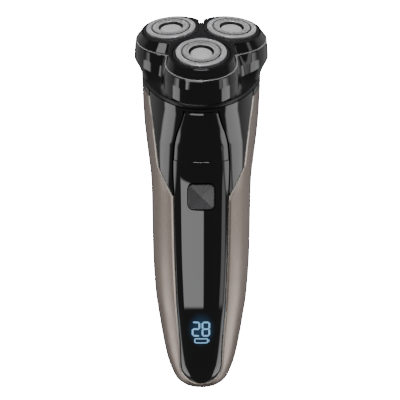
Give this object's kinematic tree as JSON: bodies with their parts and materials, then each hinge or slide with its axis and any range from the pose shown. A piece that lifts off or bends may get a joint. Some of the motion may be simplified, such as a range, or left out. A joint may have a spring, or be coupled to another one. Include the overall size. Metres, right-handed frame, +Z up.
{
  "type": "rotary shaver",
  "caption": "Cordless rotary shaver with floating round heads that pull off for cleaning, geared cutters, a sprung power button and a lit charge display.",
  "frame": {"origin": "centre of the flat foot that the handle stands on", "axes": "+Z up along the straight part of the handle; the front panel faces -Y; +X is to the right seen from the front"},
  "size_m": [0.059, 0.0625, 0.1734],
  "materials": {
    "black_gloss": "deep gloss, moulded black",
    "black_satin": "satin black",
    "champagne": "champagne metallic paint, fine flake",
    "guard_steel": "polished and slotted shaving steel",
    "cap_steel": "pale satin steel",
    "inner_plastic": "matt moulded plastic",
    "gear_plastic": "natural acetal",
    "bright_steel": "plated steel",
    "brass": "turned brass",
    "rubber": "soft black rubber",
    "board_green": "glass-fibre board",
    "cell_wrap": "shrink-wrapped cell",
    "display_light": "lit display, pale blue"
  },
  "bodies": {
    "handle": {"rear_casing": "champagne", "neck_ring": "black_gloss", "upper_front_shell": "black_gloss", "front_panel": "black_gloss", "neck_cap": "black_satin", "head_seal": "rubber", "motor_bracket": "bright_steel", "motor_can": "bright_steel", "motor_screw_1": "bright_steel", "motor_screw_2": "bright_steel", "neck_screw_1": "bright_steel", "neck_screw_2": "bright_steel", "shaft_seal": "rubber", "inner_frame": "inner_plastic", "circuit_board": "board_green", "board_screw_1": "bright_steel", "board_screw_2": "bright_steel", "tact_switch": "bright_steel", "button_seal": "rubber", "display_module": "display_light", "battery_cell": "cell_wrap", "battery_tab_low": "brass", "battery_tab_high": "brass", "charge_socket": "bright_steel"},
    "power_button": {"power_button": "black_gloss"},
    "motor_rotor": {"motor_shaft": "bright_steel", "drive_coupling": "brass"},
    "head": {"hair_chamber": "black_gloss", "gear_cover": "inner_plastic"},
    "centre_gear": {"centre_gear": "gear_plastic"},
    "holder": {"head_holder": "black_gloss", "retaining_frame": "inner_plastic"},
    "spindle_drive_1": {"satellite_gear_1": "gear_plastic", "drive_spindle_1": "bright_steel"},
    "floating_head_1": {"floating_ring_1": "black_satin"},
    "guard_unit_1": {"guard_1": "guard_steel", "guard_cap_1": "cap_steel"},
    "cutter_unit_1": {"cutter_1": "guard_steel"},
    "spindle_drive_2": {"satellite_gear_2": "gear_plastic", "drive_spindle_2": "bright_steel"},
    "floating_head_2": {"floating_ring_2": "black_satin"},
    "guard_unit_2": {"guard_2": "guard_steel", "guard_cap_2": "cap_steel"},
    "cutter_unit_2": {"cutter_2": "guard_steel"},
    "spindle_drive_3": {"satellite_gear_3": "gear_plastic", "drive_spindle_3": "bright_steel"},
    "floating_head_3": {"floating_ring_3": "black_satin"},
    "guard_unit_3": {"guard_3": "guard_steel", "guard_cap_3": "cap_steel"},
    "cutter_unit_3": {"cutter_3": "guard_steel"}
  },
  "joints": [
    {"name": "motor_spin", "type": "hinge", "parent": "handle", "child": "motor_rotor", "pos_m": [0, -0.00212, 0.13914], "axis": [0, -0.3256, 0.9455], "continuous": true},
    {"name": "button_press", "type": "slide", "parent": "handle", "child": "power_button", "axis": [0, 1, 0], "range_m": [0, 0.0006], "stiffness_N_per_m": 60, "springref_m": -0.0005},
    {"name": "head_release", "type": "slide", "parent": "handle", "child": "head", "axis": [0, -0.3256, 0.9455], "range_m": [0, 0.02]},
    {"name": "centre_gear_spin", "type": "hinge", "parent": "head", "child": "centre_gear", "pos_m": [0, -0.00667, 0.15238], "axis": [0, -0.3256, 0.9455], "continuous": true},
    {"name": "holder_lift", "type": "slide", "parent": "head", "child": "holder", "axis": [0, -0.3256, 0.9455], "range_m": [0, 0.015]},
    {"name": "spindle_spin_1", "type": "hinge", "parent": "head", "child": "spindle_drive_1", "pos_m": [0, -0.02118, 0.14844], "axis": [0, -0.3256, 0.9455], "continuous": true},
    {"name": "head_float_1", "type": "hinge", "parent": "holder", "child": "floating_head_1", "pos_m": [0, -0.02561, 0.16056], "axis": [1, 0, 0], "range_deg": [-3, 3], "stiffness_Nm_per_rad": 0.01},
    {"name": "guard_press_1", "type": "slide", "parent": "floating_head_1", "child": "guard_unit_1", "axis": [0, 0.3955, -0.9184], "range_m": [0, 0.0012], "stiffness_N_per_m": 100, "springref_m": -0.001},
    {"name": "cutter_spin_1", "type": "hinge", "parent": "guard_unit_1", "child": "cutter_unit_1", "pos_m": [0, -0.02526, 0.15973], "axis": [0, -0.3955, 0.9184], "continuous": true},
    {"name": "spindle_spin_2", "type": "hinge", "parent": "head", "child": "spindle_drive_2", "pos_m": [0.01299, 0.00009, 0.15576], "axis": [0, -0.3256, 0.9455], "continuous": true},
    {"name": "head_float_2", "type": "hinge", "parent": "holder", "child": "floating_head_2", "pos_m": [0.0132, -0.00399, 0.16801], "axis": [-0.5, 0.8188, 0.282], "range_deg": [-3, 3], "stiffness_Nm_per_rad": 0.01},
    {"name": "guard_press_2", "type": "slide", "parent": "floating_head_2", "child": "guard_unit_2", "axis": [-0.0649, 0.2892, -0.9551], "range_m": [0, 0.0012], "stiffness_N_per_m": 100, "springref_m": -0.001},
    {"name": "cutter_spin_2", "type": "hinge", "parent": "guard_unit_2", "child": "cutter_unit_2", "pos_m": [0.01314, -0.00373, 0.16715], "axis": [0.0649, -0.2892, 0.9551], "continuous": true},
    {"name": "spindle_spin_3", "type": "hinge", "parent": "head", "child": "spindle_drive_3", "pos_m": [-0.01299, 0.00009, 0.15576], "axis": [0, -0.3256, 0.9455], "continuous": true},
    {"name": "head_float_3", "type": "hinge", "parent": "holder", "child": "floating_head_3", "pos_m": [-0.0132, -0.00399, 0.16801], "axis": [-0.5, -0.8188, -0.282], "range_deg": [-3, 3], "stiffness_Nm_per_rad": 0.01},
    {"name": "guard_press_3", "type": "slide", "parent": "floating_head_3", "child": "guard_unit_3", "axis": [0.0649, 0.2892, -0.9551], "range_m": [0, 0.0012], "stiffness_N_per_m": 100, "springref_m": -0.001},
    {"name": "cutter_spin_3", "type": "hinge", "parent": "guard_unit_3", "child": "cutter_unit_3", "pos_m": [-0.01314, -0.00373, 0.16715], "axis": [-0.0649, -0.2892, 0.9551], "continuous": true}
  ],
  "couplings": [
    {"joint": "motor_spin", "follows": "cutter_spin_1", "ratio": -1.6667},
    {"joint": "centre_gear_spin", "follows": "cutter_spin_1", "ratio": -1.6667},
    {"joint": "spindle_spin_1", "follows": "cutter_spin_1", "ratio": 1},
    {"joint": "spindle_spin_2", "follows": "cutter_spin_1", "ratio": 1},
    {"joint": "cutter_spin_2", "follows": "cutter_spin_1", "ratio": 1},
    {"joint": "spindle_spin_3", "follows": "cutter_spin_1", "ratio": 1},
    {"joint": "cutter_spin_3", "follows": "cutter_spin_1", "ratio": 1}
  ]
}
